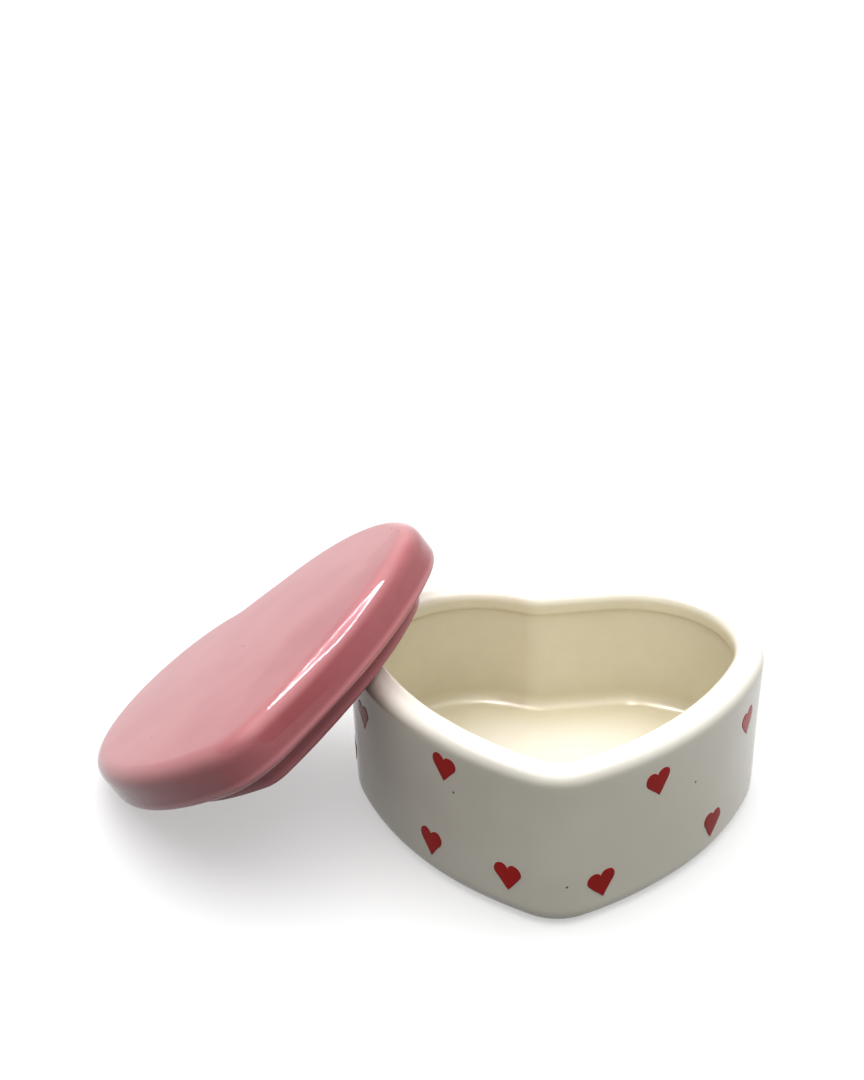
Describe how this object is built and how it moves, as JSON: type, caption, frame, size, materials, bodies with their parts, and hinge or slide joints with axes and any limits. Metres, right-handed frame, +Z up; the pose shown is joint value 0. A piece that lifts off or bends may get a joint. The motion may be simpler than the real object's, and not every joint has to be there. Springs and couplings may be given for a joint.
{
  "type": "heart trinket box",
  "caption": "Heart-shaped glazed ceramic box with small painted hearts and a lift-off lid that leans on its rim.",
  "frame": {"origin": "on the underside of the foot, at the middle of the box's width and depth", "axes": "+Z up; +X across the lobes, away from the side where the lid leans; +Y from the heart's tip to its lobes"},
  "size_m": [0.1957, 0.1171, 0.0771],
  "materials": {
    "cream_glaze": "glossy glaze",
    "red_glaze": "glossy painted underglaze",
    "pink_glaze": "glossy glaze"
  },
  "bodies": {
    "box": {"box_body": "cream_glaze", "painted_hearts": "red_glaze"},
    "lid": {"lid": "pink_glaze"}
  },
  "joints": [
    {"name": "lid_lift", "type": "slide", "parent": "box", "child": "lid", "axis": [0, 0, 1], "range_m": [0, 0.08]}
  ]
}
